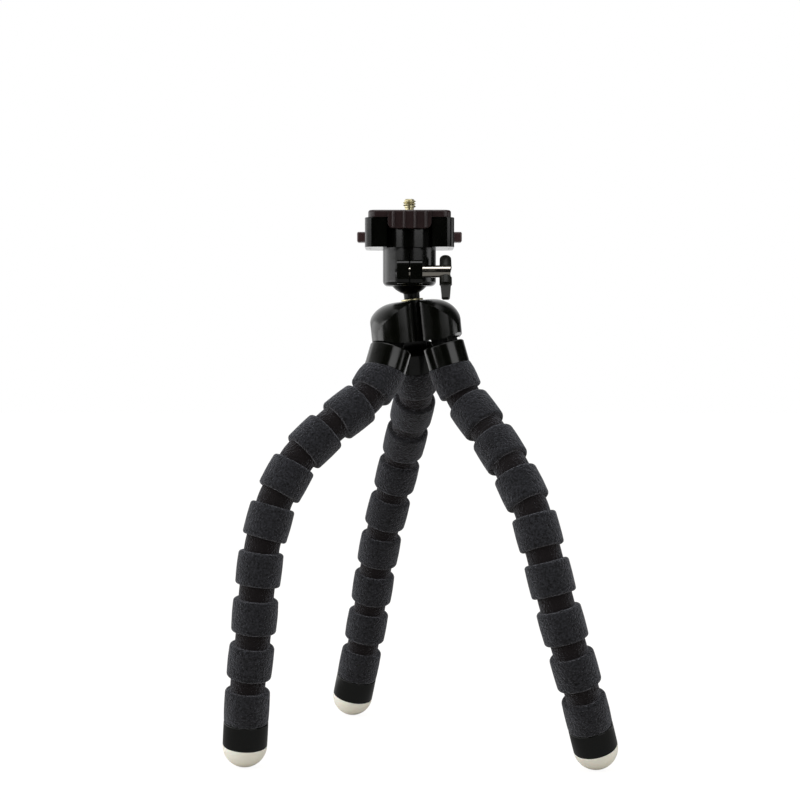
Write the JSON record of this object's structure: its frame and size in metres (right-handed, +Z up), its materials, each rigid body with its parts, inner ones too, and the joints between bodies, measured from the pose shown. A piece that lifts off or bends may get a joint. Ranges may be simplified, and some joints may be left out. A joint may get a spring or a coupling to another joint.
{
  "type": "flexible leg tripod",
  "caption": "Small table tripod: bendable ringed foam legs with rounded tips on a lobed hub, a lever-clamped ball joint and a quick-release plate with a camera screw.",
  "frame": {"origin": "on the table that the three tips stand on, straight under the centre of the ball", "axes": "+Z up along the camera screw, +X to the lever's side, +Y from the front tab to the back"},
  "size_m": [0.1942, 0.1754, 0.2813],
  "materials": {
    "foam": "fine-celled charcoal foam, matt",
    "gloss_black": "polished black nylon",
    "satin_black": "satin black plastic",
    "maroon_black": "satin brown-black plastic",
    "tip_white": "smooth off-white rubber",
    "brass": "turned",
    "nickel": "polished nickel plate",
    "black_metal": "black oxide",
    "wire": "annealed, drawn",
    "steel": "zinc plated"
  },
  "bodies": {
    "hub": {"hub_shell": "gloss_black", "hub_cover": "gloss_black", "cover_screws": "steel", "leg_pins": "steel", "stud_washer": "brass", "stud_nut": "steel"},
    "stud": {"ball_stud": "black_metal"},
    "head": {"ball_clamp": "gloss_black", "clamp_nut": "steel", "plate_holder": "satin_black", "holder_base": "satin_black", "holder_screws": "steel", "button_spring_left": "steel", "button_spring_right": "steel"},
    "lever": {"clamp_lever": "gloss_black", "clamp_screw": "nickel"},
    "plate": {"release_plate": "maroon_black"},
    "camera_screw": {"camera_screw": "brass"},
    "button_left": {"release_button_left": "maroon_black"},
    "button_right": {"release_button_right": "maroon_black"},
    "leg_left_1": {"leg_socket_left": "gloss_black", "foam_ring_left_1": "foam", "core_wire_left": "wire"},
    "leg_left_2": {"foam_ring_left_2": "foam"},
    "leg_left_3": {"foam_ring_left_3": "foam"},
    "leg_left_4": {"foam_ring_left_4": "foam"},
    "leg_left_5": {"foam_ring_left_5": "foam"},
    "leg_left_6": {"foam_ring_left_6": "foam"},
    "leg_left_7": {"foam_ring_left_7": "foam"},
    "leg_left_8": {"foam_ring_left_8": "foam"},
    "leg_left_9": {"foam_ring_left_9": "foam", "end_cap_left": "gloss_black", "foot_tip_left": "tip_white"},
    "leg_right_1": {"leg_socket_right": "gloss_black", "foam_ring_right_1": "foam", "core_wire_right": "wire"},
    "leg_right_2": {"foam_ring_right_2": "foam"},
    "leg_right_3": {"foam_ring_right_3": "foam"},
    "leg_right_4": {"foam_ring_right_4": "foam"},
    "leg_right_5": {"foam_ring_right_5": "foam"},
    "leg_right_6": {"foam_ring_right_6": "foam"},
    "leg_right_7": {"foam_ring_right_7": "foam"},
    "leg_right_8": {"foam_ring_right_8": "foam"},
    "leg_right_9": {"foam_ring_right_9": "foam", "end_cap_right": "gloss_black", "foot_tip_right": "tip_white"},
    "leg_back_1": {"leg_socket_back": "gloss_black", "foam_ring_back_1": "foam", "core_wire_back": "wire"},
    "leg_back_2": {"foam_ring_back_2": "foam"},
    "leg_back_3": {"foam_ring_back_3": "foam"},
    "leg_back_4": {"foam_ring_back_4": "foam"},
    "leg_back_5": {"foam_ring_back_5": "foam"},
    "leg_back_6": {"foam_ring_back_6": "foam"},
    "leg_back_7": {"foam_ring_back_7": "foam"},
    "leg_back_8": {"foam_ring_back_8": "foam"},
    "leg_back_9": {"foam_ring_back_9": "foam", "end_cap_back": "gloss_black", "foot_tip_back": "tip_white"}
  },
  "joints": [
    {"name": "splay_left", "type": "hinge", "parent": "hub", "child": "leg_left_1", "pos_m": [-0.00774, -0.00758, 0.21128], "axis": [-0.5635, 0.8241, -0.0572], "range_deg": [-26, 2], "deforming": ["core_wire_left"]},
    {"name": "bend_left_1_inward", "type": "hinge", "parent": "leg_left_1", "child": "leg_left_2", "pos_m": [-0.02124, -0.01889, 0.18142], "axis": [0.5635, -0.8241, 0.0572], "range_deg": [-12, 44], "deforming": ["core_wire_left"]},
    {"name": "bend_left_2_sideways", "type": "hinge", "parent": "leg_left_2", "child": "leg_left_3", "pos_m": [-0.0385, -0.02674, 0.16822], "axis": [-0.585, -0.3227, 0.7441], "range_deg": [-26, 30], "deforming": ["core_wire_left"]},
    {"name": "bend_left_3_outward", "type": "hinge", "parent": "leg_left_3", "child": "leg_left_4", "pos_m": [-0.05458, -0.03301, 0.15287], "axis": [-0.4164, 0.9068, 0.0658], "range_deg": [-10, 46], "deforming": ["core_wire_left"]},
    {"name": "bend_left_4_sideways", "type": "hinge", "parent": "leg_left_4", "child": "leg_left_5", "pos_m": [-0.06552, -0.03703, 0.13292], "axis": [-0.8631, -0.4212, 0.2785], "range_deg": [-29, 27], "deforming": ["core_wire_left"]},
    {"name": "bend_left_5_inward", "type": "hinge", "parent": "leg_left_5", "child": "leg_left_6", "pos_m": [-0.07166, -0.03912, 0.11075], "axis": [0.4294, -0.9025, -0.034], "range_deg": [-38, 18], "deforming": ["core_wire_left"]},
    {"name": "bend_left_6_sideways", "type": "hinge", "parent": "leg_left_6", "child": "leg_left_7", "pos_m": [-0.07441, -0.03911, 0.08782], "axis": [-0.9023, -0.4294, 0.038], "range_deg": [-24, 32], "deforming": ["core_wire_left"]},
    {"name": "bend_left_7_outward", "type": "hinge", "parent": "leg_left_7", "child": "leg_left_8", "pos_m": [-0.0764, -0.03697, 0.0649], "axis": [-0.4224, 0.8983, 0.1209], "range_deg": [-28, 28], "deforming": ["core_wire_left"]},
    {"name": "bend_left_8_sideways", "type": "hinge", "parent": "leg_left_8", "child": "leg_left_9", "pos_m": [-0.07923, -0.03302, 0.04232], "axis": [-0.9075, -0.4199, -0.0132], "range_deg": [-30, 26], "deforming": ["core_wire_left"]},
    {"name": "splay_right", "type": "hinge", "parent": "hub", "child": "leg_right_1", "pos_m": [0.01528, -0.00576, 0.21362], "axis": [-0.4283, -0.9026, -0.0438], "range_deg": [-11, 17], "deforming": ["core_wire_right"]},
    {"name": "bend_right_1_inward", "type": "hinge", "parent": "leg_right_1", "child": "leg_right_2", "pos_m": [0.02739, -0.00993, 0.18108], "axis": [0.4283, 0.9026, 0.0438], "range_deg": [-10, 46], "deforming": ["core_wire_right"]},
    {"name": "bend_right_2_sideways", "type": "hinge", "parent": "leg_right_2", "child": "leg_right_3", "pos_m": [0.0392, -0.02137, 0.16485], "axis": [0.66, -0.3601, 0.6593], "range_deg": [-26, 30], "deforming": ["core_wire_right"]},
    {"name": "bend_right_3_outward", "type": "hinge", "parent": "leg_right_3", "child": "leg_right_4", "pos_m": [0.04975, -0.03303, 0.14793], "axis": [-0.5966, -0.7846, 0.1686], "range_deg": [-19, 37], "deforming": ["core_wire_right"]},
    {"name": "bend_right_4_sideways", "type": "hinge", "parent": "leg_right_4", "child": "leg_right_5", "pos_m": [0.05895, -0.04162, 0.12856], "axis": [0.7982, -0.5118, 0.3178], "range_deg": [-32, 24], "deforming": ["core_wire_right"]},
    {"name": "bend_right_5_inward", "type": "hinge", "parent": "leg_right_5", "child": "leg_right_6", "pos_m": [0.06473, -0.0462, 0.10667], "axis": [0.5479, 0.836, -0.0299], "range_deg": [-32, 24], "deforming": ["core_wire_right"]},
    {"name": "bend_right_6_sideways", "type": "hinge", "parent": "leg_right_6", "child": "leg_right_7", "pos_m": [0.0703, -0.04824, 0.08434], "axis": [0.8216, -0.5271, 0.2171], "range_deg": [-35, 21], "deforming": ["core_wire_right"]},
    {"name": "bend_right_7_outward", "type": "hinge", "parent": "leg_right_7", "child": "leg_right_8", "pos_m": [0.07667, -0.04746, 0.06215], "axis": [-0.4991, -0.8491, -0.1729], "range_deg": [-24, 32], "deforming": ["core_wire_right"]},
    {"name": "bend_right_8_sideways", "type": "hinge", "parent": "leg_right_8", "child": "leg_right_9", "pos_m": [0.08325, -0.04312, 0.04044], "axis": [0.8605, -0.5051, 0.067], "range_deg": [-32, 24], "deforming": ["core_wire_right"]},
    {"name": "splay_back", "type": "hinge", "parent": "hub", "child": "leg_back_1", "pos_m": [0.00221, 0.01336, 0.21229], "axis": [0.9918, 0.0784, 0.101], "range_deg": [-26, 2], "deforming": ["core_wire_back"]},
    {"name": "bend_back_1_inward", "type": "hinge", "parent": "leg_back_1", "child": "leg_back_2", "pos_m": [0.00375, 0.03187, 0.18273], "axis": [-0.9918, -0.0784, -0.101], "range_deg": [-20, 36], "deforming": ["core_wire_back"]},
    {"name": "bend_back_2_sideways", "type": "hinge", "parent": "leg_back_2", "child": "leg_back_3", "pos_m": [0.0001, 0.04788, 0.16648], "axis": [-0.1429, 0.761, 0.6328], "range_deg": [-30, 26], "deforming": ["core_wire_back"]},
    {"name": "bend_back_3_outward", "type": "hinge", "parent": "leg_back_3", "child": "leg_back_4", "pos_m": [-0.00402, 0.06195, 0.14863], "axis": [0.9736, 0.2232, -0.0485], "range_deg": [-16, 40], "deforming": ["core_wire_back"]},
    {"name": "bend_back_4_sideways", "type": "hinge", "parent": "leg_back_4", "child": "leg_back_5", "pos_m": [-0.00892, 0.07167, 0.12826], "axis": [-0.1947, 0.9044, 0.3797], "range_deg": [-30, 26], "deforming": ["core_wire_back"]},
    {"name": "bend_back_5_inward", "type": "hinge", "parent": "leg_back_5", "child": "leg_back_6", "pos_m": [-0.01422, 0.0794, 0.10714], "axis": [-0.9537, -0.265, 0.1423], "range_deg": [-31, 25], "deforming": ["core_wire_back"]},
    {"name": "bend_back_6_sideways", "type": "hinge", "parent": "leg_back_6", "child": "leg_back_7", "pos_m": [-0.01811, 0.08633, 0.08545], "axis": [-0.2122, 0.9306, 0.2984], "range_deg": [-27, 29], "deforming": ["core_wire_back"]},
    {"name": "bend_back_7_outward", "type": "hinge", "parent": "leg_back_7", "child": "leg_back_8", "pos_m": [-0.02145, 0.09261, 0.06348], "axis": [0.9665, 0.2449, -0.0767], "range_deg": [-25, 31], "deforming": ["core_wire_back"]},
    {"name": "bend_back_8_sideways", "type": "hinge", "parent": "leg_back_8", "child": "leg_back_9", "pos_m": [-0.0253, 0.09757, 0.04124], "axis": [-0.2135, 0.9355, 0.2816], "range_deg": [-29, 27], "deforming": ["core_wire_back"]},
    {"name": "head_pan", "type": "hinge", "parent": "hub", "child": "stud", "pos_m": [0, 0, 0.24433], "axis": [-0.1013, -0.0002, 0.9949], "continuous": true},
    {"name": "head_tilt", "type": "hinge", "parent": "stud", "child": "head", "pos_m": [0, 0, 0.24433], "axis": [1, 0, 0], "range_deg": [-20, 12]},
    {"name": "lever_turn", "type": "hinge", "parent": "head", "child": "lever", "pos_m": [0.0202, -0.0155, 0.24433], "axis": [1, 0, 0], "range_deg": [-110, 110]},
    {"name": "plate_lift", "type": "slide", "parent": "head", "child": "plate", "axis": [0, 0, 1], "range_m": [0, 0.014]},
    {"name": "camera_screw_turn", "type": "hinge", "parent": "plate", "child": "camera_screw", "pos_m": [0, 0, 0.27473], "axis": [0, 0, 1], "continuous": true},
    {"name": "button_press_left", "type": "slide", "parent": "head", "child": "button_left", "axis": [1, 0, 0], "range_m": [0, 0.0022], "stiffness_N_per_m": 400, "springref_m": -0.0025, "deforming": ["button_spring_left"]},
    {"name": "button_press_right", "type": "slide", "parent": "head", "child": "button_right", "axis": [-1, 0, 0], "range_m": [0, 0.0022], "stiffness_N_per_m": 400, "springref_m": -0.0025, "deforming": ["button_spring_right"]}
  ]
}
